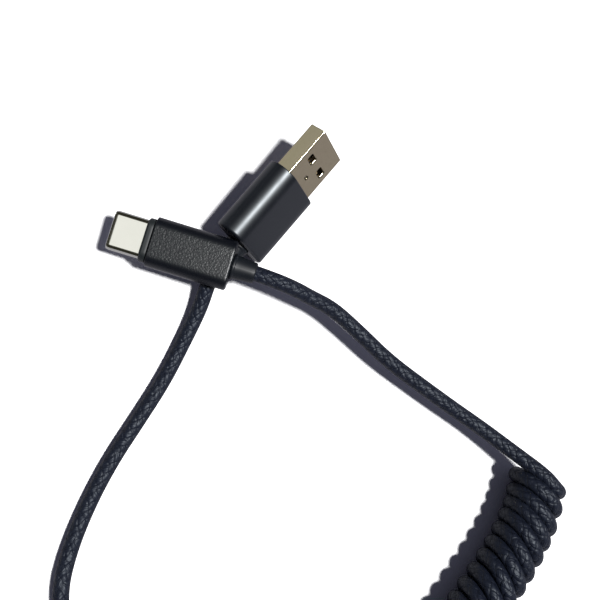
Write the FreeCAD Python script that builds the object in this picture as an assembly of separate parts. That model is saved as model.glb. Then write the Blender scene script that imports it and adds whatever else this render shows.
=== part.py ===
import FreeCAD, Part
import math
import os
from FreeCAD import Placement, Rotation, Vector

# A charging cable that lies on a table: a wide flat plug (the host plug), a slim oval plug (the
# device plug), and between them one woven cord that is coiled in the middle and free at both ends.
# Sizes are millimetres and degrees. +Z is up and the table is z = 0.
# Each plug is built along its own axis and then set down where it lies. In a plug's own axes X
# runs from the back of its cover to its tip, Y across its flat face and Z through it.

# Cord
cord_diameter = 3.6
cord_bore = 2.3
wire_diameter = 0.8
wire_gap = 0.1
coil_outer_diameter = 14.0
arc_share = 0.45

# Host plug: drawn metal shell
host_shell_width = 12.0
host_shell_height = 4.5
host_shell_wall = 0.3
host_shell_corner = 0.5
host_shell_exposed = 12.7
host_shell_rooted = 5.0
window_width = 2.5
window_length = 2.0
window_spacing = 5.7
window_from_tip = 5.2
window_bevel = 0.15
dimple_diameter = 1.1
dimple_depth = 0.16
dimple_from_tip = 9.8
seam_width = 0.12
seam_depth = 0.12

# Host plug: tongue and contacts
tongue_height = 1.9
tongue_setback = 0.35
tongue_lead_in = 0.5
tongue_top_lead_in = 0.25
tongue_block_length = 3.6
host_contact_width = 1.0
host_contact_thickness = 0.25
host_contact_proud = 0.08
host_power_offset = 3.5
host_data_offset = 1.0
host_power_setback = 0.7
host_data_setback = 1.7
host_contact_tail = 2.6
host_wire_straight = 1.8
host_wire_gather = 1.6

# Host plug: cover, inner mould and metal can
host_cover_length = 19.3
host_cover_side = 2.1
host_cover_face = 1.55
host_cover_corner = 3.0
host_cover_wall = 1.0
host_rear_wall = 1.2
host_rear_round = 1.0
host_front_edge = 0.25
host_front_recess = 0.4
host_can_back = 5.0
host_can_wall = 0.3
host_can_overlap = 1.8

# Device plug: drawn metal shell
device_shell_width = 8.25
device_shell_height = 2.4
device_shell_wall = 0.3
device_shell_exposed = 7.0
device_shell_rooted = 5.2
device_tip_edge = 0.12

# Device plug: insulator, contacts, latch, springs and board
mouth_side_wall = 0.45
mouth_roof = 0.425
mouth_corner = 0.1
mouth_depth = 5.3
insulator_setback = 0.4
device_contact_width = 0.25
device_contact_thickness = 0.12
device_contact_pitch = 0.5
device_contact_setback = 2.4
device_contact_tail = 1.5
device_contact_dip = 0.14
device_contact_nose = 0.6
device_contact_dip_length = 0.4
device_contact_ramp = 0.6
upper_contacts = (-5.5, -2.5, -1.5, -0.5, 0.5, 2.5, 5.5)
lower_contacts = (-5.5, -2.5, 2.5, 5.5)
contact_slot_depth = 0.12
latch_thickness = 0.2
latch_arm_width = 0.25
latch_hook = 0.2
latch_hook_length = 0.6
latch_bar = 0.6
latch_setback = 0.9
latch_clearance = 0.01
spring_inset = 0.975
spring_setback = 0.5
spring_length = 1.2
spring_thickness = 0.12
board_length = 7.8
board_inset = 0.925
resistor_length = 1.0
resistor_width = 0.5
resistor_height = 0.35
device_wire_spacing = 3.84
device_wire_on_board = 3.0
device_wire_straight = 0.4
device_wire_gather = 2.0

# Device plug: cover, bezel, inner mould and metal can
device_cover_length = 19.4
device_cover_side = 1.675
device_cover_face = 2.0
device_cover_corner = 2.8
device_cover_wall = 0.9
device_rear_wall = 1.0
device_rear_round = 1.3
device_front_edge = 0.2
bezel_length = 1.75
bezel_side_inset = 0.7
bezel_face_inset = 0.5
bezel_groove = 0.25
bezel_spigot = 1.6
bezel_front_edge = 0.35
device_can_back = 4.2
device_can_wall = 0.25
device_can_overlap = 1.5

# Strain relief on each plug, and the crimped end of its can
relief_length = 5.2
relief_root_diameter = 5.6
relief_tip_diameter = 4.1
relief_bead = 0.18
relief_bead_width = 0.7
relief_neck_diameter = 4.4
relief_flange_diameter = 6.2
relief_flange_length = 0.9
crimp_wall = 0.3
crimp_length = 2.0

# Clearances
slide_clearance = 0.03
tongue_side_play = 0.05
solder_gap = 0.01
wire_headroom = 0.03
cutter_overshoot = 1.0

# Where the plugs lie: the back of each cover, and its heading, pitch and roll
host_spot = (2.95, -7.96)
host_heading = 50.8
host_pitch = 8.3
host_roll = 53.3
device_heading = 163.4
device_pitch = -7.5
device_roll = -8.3
plug_gap = 0.95
crossing_from_back = 2.5
rest_gap = -0.3

# Route of the cord: a straight exit from each strain relief, then points on the way to the coil
host_exit_run = 3.0
device_exit_run = 5.4
device_tail_points = (
    (15.9, -18.7, 12.5), (19.9, -20.1, 9.1), (26.1, -22.2, 5.9), (32.9, -27.4, 3.9), (41.1, -34.4, 3.1),
    (50.0, -40.5, 2.8), (57.9, -45.9, 3.1), (65.0, -50.8, 4.4), (71.3, -56.4, 7.1), (76.8, -62.4, 11.9))
host_tail_points = (
    (-3.8, -17.2, 5.6), (-5.4, -22.6, 3.6), (-8.4, -29.0, 2.0), (-13.2, -39.3, 2.1), (-18.9, -48.4, 1.9),
    (-24.4, -57.1, 1.9), (-29.0, -66.4, 1.9), (-32.6, -76.3, 2.5), (-34.5, -85.6, 3.6), (-32.5, -95.1, 4.3),
    (-26.4, -104.8, 3.0), (-15.8, -110.8, 2.0), (-3.1, -113.8, 1.8), (8.9, -119.4, 1.8), (16.5, -124.7, 1.8),
    (21.5, -128.5, 1.8))

# Axis of the coil
coil_axis_points = ((77.4, -59.5), (77.0, -70.8), (66.4, -85.1), (45.4, -109.6), (23.9, -132.6))

# Sizes that follow from the others
wire_spread = wire_diameter + wire_gap
host_cover_width = host_shell_width + 2 * host_cover_side
host_cover_height = host_shell_height + 2 * host_cover_face
device_cover_width = device_shell_width + 2 * device_cover_side
device_cover_height = device_shell_height + 2 * device_cover_face
mouth_width = device_shell_width - 2 * device_shell_wall - 2 * mouth_side_wall
mouth_height = device_shell_height - 2 * device_shell_wall - 2 * mouth_roof
spring_width = mouth_width - 2 * spring_inset
board_width = device_shell_width - 2 * board_inset
board_thickness = device_shell_height - 2 * (wire_diameter + solder_gap + wire_headroom)

# Places along each plug's own axis
host_tip = host_cover_length + host_shell_exposed
host_shell_back = host_cover_length - host_shell_rooted
device_front = device_cover_length + bezel_groove + bezel_length
device_tip = device_front + device_shell_exposed
device_shell_back = device_front - device_shell_rooted
board_back = device_shell_back - board_length


def section(x, width, height, corner):
    """Wire of a rounded rectangle across the plug at x."""
    corner = min(corner, width / 2, height / 2)
    edges = []
    ends = []
    for quarter, (side_y, side_z) in enumerate(((1, 1), (-1, 1), (-1, -1), (1, -1))):
        middle = Vector(x, side_y * (width / 2 - corner), side_z * (height / 2 - corner))
        spots = []
        for angle in (0, 45, 90):
            turn = math.radians(90 * quarter + angle)
            spots.append(middle + Vector(0, corner * math.cos(turn), corner * math.sin(turn)))
        edges.append(Part.Arc(*spots).toShape())
        ends.append((spots[0], spots[2]))
    for before, after in zip(ends, ends[1:] + ends[:1]):
        if before[1].distanceToPoint(after[0]) > 1e-6:
            edges.append(Part.LineSegment(before[1], after[0]).toShape())
    return Part.Wire(Part.__sortEdges__(edges))


def prism(x_back, x_front, width, height, corner):
    """Solid with the same rounded section from x_back to x_front."""
    face = Part.Face(section(x_back, width, height, corner))
    return face.extrude(Vector(x_front - x_back, 0, 0))


def block(x_back, x_front, y_low, y_high, z_low, z_high):
    corner = Vector(x_back, y_low, z_low)
    return Part.makeBox(x_front - x_back, y_high - y_low, z_high - z_low, corner)


def cylinder(x_back, x_front, diameter):
    return Part.makeCylinder(diameter / 2, x_front - x_back, Vector(x_back, 0, 0), Vector(1, 0, 0))


def outline_slab(points, z_low, z_high):
    """Slab with the given outline in X and Y."""
    corners = [Vector(x, y, z_low) for x, y in points]
    face = Part.Face(Part.makePolygon(corners + corners[:1]))
    return face.extrude(Vector(0, 0, z_high - z_low))


def end_edges(solid, x):
    """Edges of a solid that lie in the plane at x."""
    edges = []
    for edge in solid.Edges:
        box = edge.BoundBox
        if abs(box.XMin - x) < 0.001 and abs(box.XMax - x) < 0.001:
            edges.append(edge)
    return edges


def joined(solids):
    whole = solids[0]
    for solid in solids[1:]:
        whole = whole.fuse(solid)
    return whole.removeSplitter()


def bent_path(points):
    """Straight runs joined by arcs that are as large as the runs allow, with the arcs' radii."""
    edges = []
    radii = []
    start = points[0]
    for before, corner, after in zip(points, points[1:], points[2:]):
        run_in = corner - before
        run_out = after - corner
        half_turn = run_in.getAngle(run_out) / 2
        reach = arc_share * min(run_in.Length, run_out.Length)
        radius = reach / math.tan(half_turn)
        run_in.normalize()
        run_out.normalize()
        inward = (run_out - run_in).normalize()
        arc_start = corner - run_in * reach
        arc_middle = corner + inward * (radius / math.cos(half_turn) - radius)
        arc_end = corner + run_out * reach
        edges.append(Part.LineSegment(start, arc_start).toShape())
        edges.append(Part.Arc(arc_start, arc_middle, arc_end).toShape())
        radii.append(radius)
        start = arc_end
    edges.append(Part.LineSegment(start, points[-1]).toShape())
    return Part.Wire(edges), radii


def rod(points, diameter):
    """Round rod along a bent path."""
    path, radii = bent_path(points)
    ring = Part.Wire(Part.makeCircle(diameter / 2, points[0], points[1] - points[0]))
    return path.makePipeShell([ring], True, False), path.Length, radii


def strain_relief(rear_wall, inside):
    """Turned collar: a flange inside the cover, a neck in its wall, a bead and a tapered tail."""
    root = relief_root_diameter / 2
    bore = cord_diameter / 2
    neck = relief_neck_diameter / 2
    points = [
        Vector(rear_wall, bore, 0),
        Vector(rear_wall, neck, 0),
        Vector(0, neck, 0),
        Vector(0, root + relief_bead, 0),
        Vector(-relief_bead_width, root + relief_bead, 0),
        Vector(-relief_bead_width, root, 0),
        Vector(-relief_length, relief_tip_diameter / 2, 0),
        Vector(-relief_length, bore, 0),
    ]
    profile = Part.Face(Part.makePolygon(points + points[:1]))
    tail = profile.revolve(Vector(0, 0, 0), Vector(1, 0, 0), 360)
    front = rear_wall + relief_flange_length
    flange = cylinder(rear_wall, front, relief_flange_diameter).common(prism(rear_wall, front, *inside))
    return joined([tail, flange.cut(cylinder(0, front + cutter_overshoot, cord_diameter))])


def cover(length, width, height, corner, wall, rear_wall, rear_round, front_edge):
    """Sleeve with a closed, rounded back and a broken front edge, with a hole for the strain relief."""
    outside = prism(0, length, width, height, corner)
    outside = outside.makeFillet(rear_round, end_edges(outside, 0))
    outside = outside.makeChamfer(front_edge, end_edges(outside, length))
    bore = (width - 2 * wall, height - 2 * wall, corner - wall)
    inside = prism(rear_wall, length + cutter_overshoot, *bore)
    hole = cylinder(-cutter_overshoot, rear_wall + cutter_overshoot, relief_neck_diameter)
    return outside.cut(inside).cut(hole)


def crimp_can(back, front, width, height, corner, wall):
    """Drawn can that closes over the back of a shell, with a barrel crimped on the cord's jacket."""
    play = slide_clearance
    room = (width + 2 * play, height + 2 * play, corner + play)
    size = (room[0] + 2 * wall, room[1] + 2 * wall, room[2] + wall)
    barrel = cylinder(back - crimp_length, back, cord_diameter + 2 * crimp_wall)
    envelope = joined([prism(back - wall, front, *size), barrel])
    jacket_room = cylinder(back - crimp_length - cutter_overshoot, back - wall, cord_diameter)
    wire_room = cylinder(back - wall - cutter_overshoot, back + cutter_overshoot, cord_bore)
    can = envelope.cut(prism(back, front + cutter_overshoot, *room)).cut(jacket_room).cut(wire_room)
    return can, envelope


def inner_mould(back, front, width, height, corner, hollows):
    """Moulding that fills a cover round the pieces inside it."""
    mould = prism(back, front, width, height, corner)
    for hollow in hollows:
        mould = mould.cut(hollow)
    return mould


def jacket_end(front):
    """Last of the woven jacket, held in the strain relief and the crimp."""
    outside = cylinder(-relief_length, front, cord_diameter)
    bore = cylinder(-relief_length - cutter_overshoot, front + cutter_overshoot, cord_bore)
    return outside.cut(bore)


def wire_run(front, bend, merge, y, z, side_y, side_z):
    """Insulated wire from its joint at (front, y, z) to its place in the cord."""
    place = wire_spread / 2
    points = [
        Vector(front, y, z),
        Vector(bend, y, z),
        Vector(merge, side_y * place, side_z * place),
        Vector(-relief_length, side_y * place, side_z * place),
    ]
    return rod(points, wire_diameter)[0]


def host_shell():
    """Folded shell with two latch windows on each broad face, a dimple and a seam."""
    width = host_shell_width
    height = host_shell_height
    wall = host_shell_wall
    shell = prism(host_shell_back, host_tip, width, height, host_shell_corner)
    bore = (width - 2 * wall, height - 2 * wall, host_shell_corner - wall)
    bore_back = host_shell_back - cutter_overshoot
    bore_front = host_tip + cutter_overshoot
    shell = shell.cut(prism(bore_back, bore_front, *bore))
    for side_z in (1, -1):
        for side_y in (1, -1):
            shell = shell.cut(latch_window(side_y * window_spacing / 2, side_z))
    bowl = (dimple_diameter ** 2 / 4 + dimple_depth ** 2) / (2 * dimple_depth)
    dimple_centre = Vector(host_tip - dimple_from_tip, 0, height / 2 + bowl - dimple_depth)
    shell = shell.cut(Part.makeSphere(bowl, dimple_centre))
    seam_top = -height / 2 + seam_depth
    seam = block(bore_back, bore_front, -seam_width / 2, seam_width / 2, -height, seam_top)
    return shell.cut(seam)


def latch_window(y, side_z):
    """Cutter for one window: a straight hole with a bevel at the outer face."""
    front = host_tip - window_from_tip
    back = front - window_length
    face = side_z * host_shell_height / 2
    half = window_width / 2
    through = sorted((face - side_z * 2 * host_shell_wall, face))
    hole = block(back, front, y - half, y + half, *through)
    wires = []
    for reach, z in ((0, face - side_z * window_bevel), (window_bevel, face)):
        corners = [
            Vector(back - reach, y - half - reach, z),
            Vector(front + reach, y - half - reach, z),
            Vector(front + reach, y + half + reach, z),
            Vector(back - reach, y + half + reach, z),
        ]
        wires.append(Part.makePolygon(corners + corners[:1]))
    return hole.fuse(Part.makeLoft(wires, True, True))


def host_tongue():
    """Contact carrier: a block in the root of the shell and a tongue along its lower half."""
    room_width = host_shell_width - 2 * host_shell_wall
    room_height = host_shell_height - 2 * host_shell_wall
    half = room_width / 2 - tongue_side_play
    floor = -room_height / 2
    top = floor + tongue_height
    front = host_tip - tongue_setback
    block_front = host_shell_back + tongue_block_length
    carrier = block(host_shell_back, block_front, -half, half, floor, -floor)
    profile = [
        Vector(block_front, -half, floor),
        Vector(front - tongue_lead_in, -half, floor),
        Vector(front, -half, floor + tongue_lead_in),
        Vector(front, -half, top - tongue_top_lead_in),
        Vector(front - tongue_top_lead_in, -half, top),
        Vector(block_front, -half, top),
    ]
    tongue = Part.Face(Part.makePolygon(profile + profile[:1])).extrude(Vector(0, 2 * half, 0))
    room = prism(host_shell_back, host_tip, 2 * half, room_height, host_shell_corner)
    carrier = joined([carrier, tongue]).common(room)
    for blank in host_contact_blanks():
        carrier = carrier.cut(blank)
    return carrier


def host_contact_blanks():
    """The four flat contacts, the outer two longer, each from the tongue's front to its tail."""
    top = -host_shell_height / 2 + host_shell_wall + tongue_height + host_contact_proud
    blanks = []
    for offset, setback in ((host_power_offset, host_power_setback), (host_data_offset, host_data_setback)):
        for side in (1, -1):
            front = host_tip - tongue_setback - setback
            back = host_shell_back - host_contact_tail
            low = side * offset - host_contact_width / 2
            high = side * offset + host_contact_width / 2
            blanks.append(block(back, front, low, high, top - host_contact_thickness, top))
    return blanks


def host_wires():
    """Four wires, from the contacts' tails to their places in the cord."""
    joint = host_shell_back - host_contact_tail
    top = -host_shell_height / 2 + host_shell_wall + tongue_height + host_contact_proud
    level = top - host_contact_thickness / 2
    bend = joint - host_wire_straight
    merge = host_can_back + host_wire_gather
    return {
        "host_wire_power": wire_run(joint, bend, merge, host_power_offset, level, 1, 1),
        "host_wire_ground": wire_run(joint, bend, merge, -host_power_offset, level, -1, 1),
        "host_wire_data_plus": wire_run(joint, bend, merge, host_data_offset, level, 1, -1),
        "host_wire_data_minus": wire_run(joint, bend, merge, -host_data_offset, level, -1, -1),
    }


def host_plug():
    """Every piece of the host plug in its own axes."""
    inside = (host_cover_width - 2 * host_cover_wall, host_cover_height - 2 * host_cover_wall,
              host_cover_corner - host_cover_wall)
    shell_envelope = prism(host_shell_back, host_tip, host_shell_width, host_shell_height, host_shell_corner)
    can, can_envelope = crimp_can(host_can_back, host_shell_back + host_can_overlap, host_shell_width,
                                  host_shell_height, host_shell_corner, host_can_wall)
    relief = strain_relief(host_rear_wall, inside)
    jacket_front = host_can_back - host_can_wall
    jacket_room = cylinder(-relief_length, jacket_front, cord_diameter)
    hollows = [shell_envelope, can_envelope, relief, jacket_room]
    pieces = {
        "host_shell": host_shell(),
        "host_tongue": host_tongue(),
        "host_contacts": Part.makeCompound(host_contact_blanks()),
        "host_can": can,
        "host_inner_mould": inner_mould(host_rear_wall, host_cover_length - host_front_recess, *inside, hollows),
        "host_cover": cover(host_cover_length, host_cover_width, host_cover_height, host_cover_corner,
                            host_cover_wall, host_rear_wall, host_rear_round, host_front_edge),
        "host_strain_relief": relief,
        "host_jacket_end": jacket_end(jacket_front),
    }
    pieces.update(host_wires())
    return pieces


def device_shell():
    """Seamless oval shell with its front edge broken."""
    shell = prism(device_shell_back, device_tip, device_shell_width, device_shell_height, device_shell_height / 2)
    shell = shell.makeChamfer(device_tip_edge, end_edges(shell, device_tip))
    bore = (device_shell_width - 2 * device_shell_wall, device_shell_height - 2 * device_shell_wall,
            device_shell_height / 2 - device_shell_wall)
    return shell.cut(prism(device_shell_back - cutter_overshoot, device_tip + cutter_overshoot, *bore))


def device_contact(position, side, grow):
    """One spring contact, bent towards the mouth near its front. grow widens it for its slot."""
    front = device_tip - device_contact_setback
    back = device_shell_back - device_contact_tail
    low = board_thickness / 2
    high = low + device_contact_thickness
    dip = device_contact_dip
    centre = position * device_contact_pitch
    half = device_contact_width / 2 + grow
    dip_front = front - device_contact_nose
    dip_back = dip_front - device_contact_dip_length
    ramp_back = dip_back - device_contact_ramp
    lower = [(back, low), (ramp_back, low), (dip_back, low - dip), (dip_front, low - dip), (front, low)]
    upper = [(front, high), (dip_front, high - dip), (dip_back, high - dip), (ramp_back, high), (back, high)]
    corners = [Vector(x, centre - half, side * z) for x, z in lower + upper]
    return Part.Face(Part.makePolygon(corners + corners[:1])).extrude(Vector(0, 2 * half, 0))


def contact_row(positions, side):
    return [device_contact(position, side, 0) for position in positions]


def contact_slots(positions, side):
    """Slots that the contacts lie in, open to the mouth."""
    front = device_tip - device_contact_setback + slide_clearance
    low = board_thickness / 2
    high = low + device_contact_thickness
    mouth_back = device_tip - insulator_setback - mouth_depth
    half = device_contact_width / 2 + slide_clearance
    slots = []
    for position in positions:
        y = position * device_contact_pitch
        snug = sorted((side * low, side * high))
        slots.append(block(device_shell_back - cutter_overshoot, front, y - half, y + half, *snug))
        deep = sorted((0, side * (high + contact_slot_depth)))
        slots.append(block(mouth_back, front, y - half, y + half, *deep))
    return slots


def latch_outline(grow):
    """Side latches on one bar: two arms beside the mouth, each with a hook near its front."""
    outer = mouth_width / 2 + latch_arm_width + grow
    inner = mouth_width / 2 - grow
    hook = mouth_width / 2 - latch_hook - grow
    bar_back = device_shell_back + latch_bar - grow
    bar_front = bar_back + latch_bar + 2 * grow
    front = device_tip - insulator_setback - latch_setback + grow
    hook_back = front - latch_hook_length - 2 * grow
    half = [(bar_back, outer), (front, outer), (front, hook), (hook_back, hook), (hook_back, inner), (bar_front, inner)]
    mirrored = [(x, -y) for x, y in reversed(half)]
    return half + mirrored


def device_latch():
    return outline_slab(latch_outline(0), -latch_thickness / 2, latch_thickness / 2)


def spring_strip(side, grow):
    """Earth spring in a recess of the mouth's roof or floor, near the front."""
    front = device_tip - insulator_setback - spring_setback + grow
    back = front - spring_length - 2 * grow
    half = spring_width / 2 + grow
    levels = sorted((side * mouth_height / 2, side * (mouth_height / 2 + spring_thickness)))
    return block(back, front, -half, half, *levels)


def device_insulator():
    """Moulded insulator that fills the shell, with the mouth, the slots and the latch's room."""
    width = device_shell_width - 2 * device_shell_wall
    height = device_shell_height - 2 * device_shell_wall
    front = device_tip - insulator_setback
    body = prism(device_shell_back, front, width, height, height / 2)
    mouth = prism(front - mouth_depth, front + cutter_overshoot, mouth_width, mouth_height, mouth_corner)
    body = body.cut(mouth)
    latch_room = latch_thickness / 2 + latch_clearance
    body = body.cut(outline_slab(latch_outline(slide_clearance), -latch_room, latch_room))
    for slot in contact_slots(upper_contacts, 1) + contact_slots(lower_contacts, -1):
        body = body.cut(slot)
    for side in (1, -1):
        body = body.cut(spring_strip(side, slide_clearance))
    return body


def device_board():
    half = board_width / 2
    level = board_thickness / 2
    return block(board_back, device_shell_back, -half, half, -level, level)


def device_resistor():
    """Chip that tells the host what the cable can carry, on top of the board."""
    back = board_back + (board_length - resistor_length) / 2
    half = resistor_width / 2
    level = board_thickness / 2
    return block(back, back + resistor_length, -half, half, level, level + resistor_height)


def device_wires():
    """Four wires, two on each face of the board, that run back into the cord."""
    level = board_thickness / 2 + wire_diameter / 2 + solder_gap
    front = board_back + device_wire_on_board
    bend = board_back - device_wire_straight
    merge = device_can_back + device_wire_gather
    spread = device_wire_spacing / 2
    return {
        "device_wire_power": wire_run(front, bend, merge, spread, level, 1, 1),
        "device_wire_ground": wire_run(front, bend, merge, -spread, level, -1, 1),
        "device_wire_data_plus": wire_run(front, bend, merge, spread, -level, 1, -1),
        "device_wire_data_minus": wire_run(front, bend, merge, -spread, -level, -1, -1),
    }


def device_bezel():
    """Front frame: a spigot in the cover, a thin groove, a flange and a hole for the shell."""
    wall = device_cover_wall
    neck = (device_cover_width - 2 * wall, device_cover_height - 2 * wall, device_cover_corner - wall)
    flange = (device_cover_width - 2 * bezel_side_inset, device_cover_height - 2 * bezel_face_inset,
              device_cover_corner - bezel_face_inset)
    flange_back = device_cover_length + bezel_groove
    frame = prism(flange_back, device_front, *flange)
    frame = frame.makeChamfer(bezel_front_edge, end_edges(frame, device_front))
    frame = joined([frame, prism(device_cover_length - bezel_spigot, flange_back, *neck)])
    hole = prism(0, device_tip, device_shell_width, device_shell_height, device_shell_height / 2)
    return frame.cut(hole)


def device_plug():
    """Every piece of the device plug in its own axes."""
    wall = device_cover_wall
    inside = (device_cover_width - 2 * wall, device_cover_height - 2 * wall, device_cover_corner - wall)
    shell_size = (device_shell_width, device_shell_height, device_shell_height / 2)
    shell_envelope = prism(device_shell_back, device_tip, *shell_size)
    can, can_envelope = crimp_can(device_can_back, device_shell_back + device_can_overlap, *shell_size,
                                  device_can_wall)
    relief = strain_relief(device_rear_wall, inside)
    jacket_front = device_can_back - device_can_wall
    jacket_room = cylinder(-relief_length, jacket_front, cord_diameter)
    hollows = [shell_envelope, can_envelope, relief, jacket_room]
    pieces = {
        "device_shell": device_shell(),
        "device_insulator": device_insulator(),
        "device_contacts_upper": Part.makeCompound(contact_row(upper_contacts, 1)),
        "device_contacts_lower": Part.makeCompound(contact_row(lower_contacts, -1)),
        "device_latch": device_latch(),
        "device_earth_springs": Part.makeCompound([spring_strip(1, 0), spring_strip(-1, 0)]),
        "device_board": device_board(),
        "device_resistor": device_resistor(),
        "device_can": can,
        "device_inner_mould": inner_mould(device_rear_wall, device_cover_length - bezel_spigot, *inside, hollows),
        "device_bezel": device_bezel(),
        "device_cover": cover(device_cover_length, device_cover_width, device_cover_height, device_cover_corner,
                              wall, device_rear_wall, device_rear_round, device_front_edge),
        "device_strain_relief": relief,
        "device_jacket_end": jacket_end(jacket_front),
    }
    pieces.update(device_wires())
    return pieces


def turn(heading, pitch, roll):
    return Rotation(Vector(0, 0, 1), heading) * Rotation(Vector(0, 1, 0), -pitch) * Rotation(Vector(1, 0, 0), roll)


def host_placement(pieces):
    """The host plug lies on the lowest edge of its cover."""
    rotation = turn(host_heading, host_pitch, host_roll)
    tilted = pieces["host_cover"].copy()
    tilted.Placement = Placement(Vector(0, 0, 0), rotation)
    height = -tilted.optimalBoundingBox(False).ZMin
    return Placement(Vector(host_spot[0], host_spot[1], height), rotation)


def device_placement(host):
    """The device plug lies across the host plug's strain relief."""
    rotation = turn(device_heading, device_pitch, device_roll)
    crossing_angle = math.radians(device_heading - host_heading)
    behind = device_cover_width / 2 / math.sin(crossing_angle) + plug_gap
    crossing = host.multVec(Vector(-behind, 0, 0))
    lift = relief_root_diameter / 2 + device_cover_height / 2 + rest_gap
    level = crossing + Vector(0, 0, lift)
    return Placement(level - rotation.multVec(Vector(crossing_from_back, 0, 0)), rotation)


def cord_route(plug, exit_run, points):
    """Points of a tail: straight out of a plug's strain relief, then on over the table."""
    end = plug.multVec(Vector(-relief_length, 0, 0))
    exit_point = plug.multVec(Vector(-relief_length - exit_run, 0, 0))
    return [end, exit_point] + [Vector(*point) for point in points]


def cord_solids(host, device):
    """Plain solids of the cord: a tube for each tail and a thick one round the coil."""
    coil_height = coil_outer_diameter / 2
    routes = {
        "cord_coil": ([Vector(x, y, coil_height) for x, y in coil_axis_points], coil_outer_diameter),
        "cord_device_tail": (cord_route(device, device_exit_run, device_tail_points), cord_diameter),
        "cord_host_tail": (cord_route(host, host_exit_run, host_tail_points), cord_diameter),
    }
    solids = {}
    for name, (points, diameter) in routes.items():
        solid, length, radii = rod(points, diameter)
        expected = math.pi * diameter ** 2 / 4 * length
        print(name, "length", round(length, 1), "volume against section and length", round(solid.Volume / expected, 4))
        print(name, "radii", [round(radius, 1) for radius in radii])
        solids[name] = solid
    for name in ("cord_device_tail", "cord_host_tail"):
        solids[name] = solids[name].cut(solids["cord_coil"])
    return solids


def main():
    os.makedirs("parts", exist_ok=True)
    host_pieces = host_plug()
    device_pieces = device_plug()
    host = host_placement(host_pieces)
    device = device_placement(host)
    placed = {}
    for pieces, placement in ((host_pieces, host), (device_pieces, device)):
        for name, solid in pieces.items():
            moved = solid.copy()
            moved.Placement = placement.multiply(moved.Placement)
            placed[name] = moved
    placed.update(cord_solids(host, device))
    for name, solid in placed.items():
        solid.exportStep("parts/" + name + ".step")
    print(len(placed), "nodes")


main()
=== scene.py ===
import math

import bpy
import numpy as np
from mathutils import Matrix, Vector


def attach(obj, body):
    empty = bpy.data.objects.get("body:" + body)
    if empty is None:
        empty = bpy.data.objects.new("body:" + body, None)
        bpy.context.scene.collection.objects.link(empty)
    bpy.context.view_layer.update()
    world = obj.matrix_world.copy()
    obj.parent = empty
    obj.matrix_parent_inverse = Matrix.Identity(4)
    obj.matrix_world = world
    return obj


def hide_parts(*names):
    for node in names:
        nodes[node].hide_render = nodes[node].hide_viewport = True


# A charging cable on a white table: two plugs, and one woven cord that is coiled in the middle.
# Everything is in metres, +Z up, and the table is z = 0. A plug's own axes are X from the back of
# its cover to its tip, Y across its flat face and Z through it.

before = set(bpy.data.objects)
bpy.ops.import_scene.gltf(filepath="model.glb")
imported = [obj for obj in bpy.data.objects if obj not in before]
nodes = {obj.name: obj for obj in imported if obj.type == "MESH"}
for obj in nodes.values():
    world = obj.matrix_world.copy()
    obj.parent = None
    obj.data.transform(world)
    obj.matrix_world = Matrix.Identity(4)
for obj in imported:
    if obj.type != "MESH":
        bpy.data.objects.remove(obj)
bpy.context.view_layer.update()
mm = 0.001


def say(stage):
    print("stage:", stage)


# Camera and light

view = {
    "place": (-0.02411, -0.04735, 0.18943),
    "turn": (8.125, -12.929, 0.0),
    "lens": 48.1,
    "sensor": 36.0,
    "nearest": 0.005,
    "keyFrom": (0.262, -0.124, 0.957),
    "keyStrength": 7.0,
    "keyAngle": 7.2,
    "floorReach": 3.0,
    "floorRoughness": 0.8,
    "floorColor": (0.85, 0.85, 0.85, 1.0),
    "floorInGloss": (0.29, 0.285, 0.31, 1.0),
    "fillWest": (0.050, 0.052, 0.078, 1.0),
    "fillEast": (0.098, 0.100, 0.142, 1.0),
    "backdrop": (1.0, 1.0, 1.0, 1.0),
    "dark": (0.040, 0.039, 0.028, 1.0),
    "glows": (
        {"toward": (-0.342, 0.013, 0.940), "edge": (0.983, 0.9955), "color": (0.93, 0.93, 0.86, 1.0)},
        {"toward": (-0.280, 0.206, 0.938), "edge": (0.983, 0.9955), "color": (0.93, 0.93, 0.86, 1.0)},
        {"toward": (-0.400, -0.187, 0.897), "edge": (0.983, 0.9955), "color": (0.93, 0.93, 0.86, 1.0)},
        {"toward": (-0.640, 0.710, 0.290), "edge": (0.965, 0.992), "color": (0.86, 0.89, 0.87, 1.0)},
    ),
}


def makeNode(tree, kind, settings=None, inputs=None):
    node = tree.nodes.new(kind)
    for key, value in (settings or {}).items():
        setattr(node, key, value)
    for key, value in (inputs or {}).items():
        if isinstance(value, bpy.types.NodeSocket):
            tree.links.new(value, node.inputs[key])
        else:
            node.inputs[key].default_value = value
    return node


def makeCamera(values):
    data = bpy.data.cameras.new("camera")
    data.lens = values["lens"]
    data.sensor_width = values["sensor"]
    data.clip_start = values["nearest"]
    camera = bpy.data.objects.new("camera", data)
    camera.location = values["place"]
    camera.rotation_euler = [math.radians(angle) for angle in values["turn"]]
    bpy.context.scene.collection.objects.link(camera)
    bpy.context.scene.camera = camera


def makeKey(values):
    data = bpy.data.lights.new("key", "SUN")
    data.energy = values["keyStrength"]
    data.angle = math.radians(values["keyAngle"])
    key = bpy.data.objects.new("key", data)
    key.rotation_euler = Vector(values["keyFrom"]).to_track_quat("Z", "Y").to_euler()
    bpy.context.scene.collection.objects.link(key)


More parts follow.
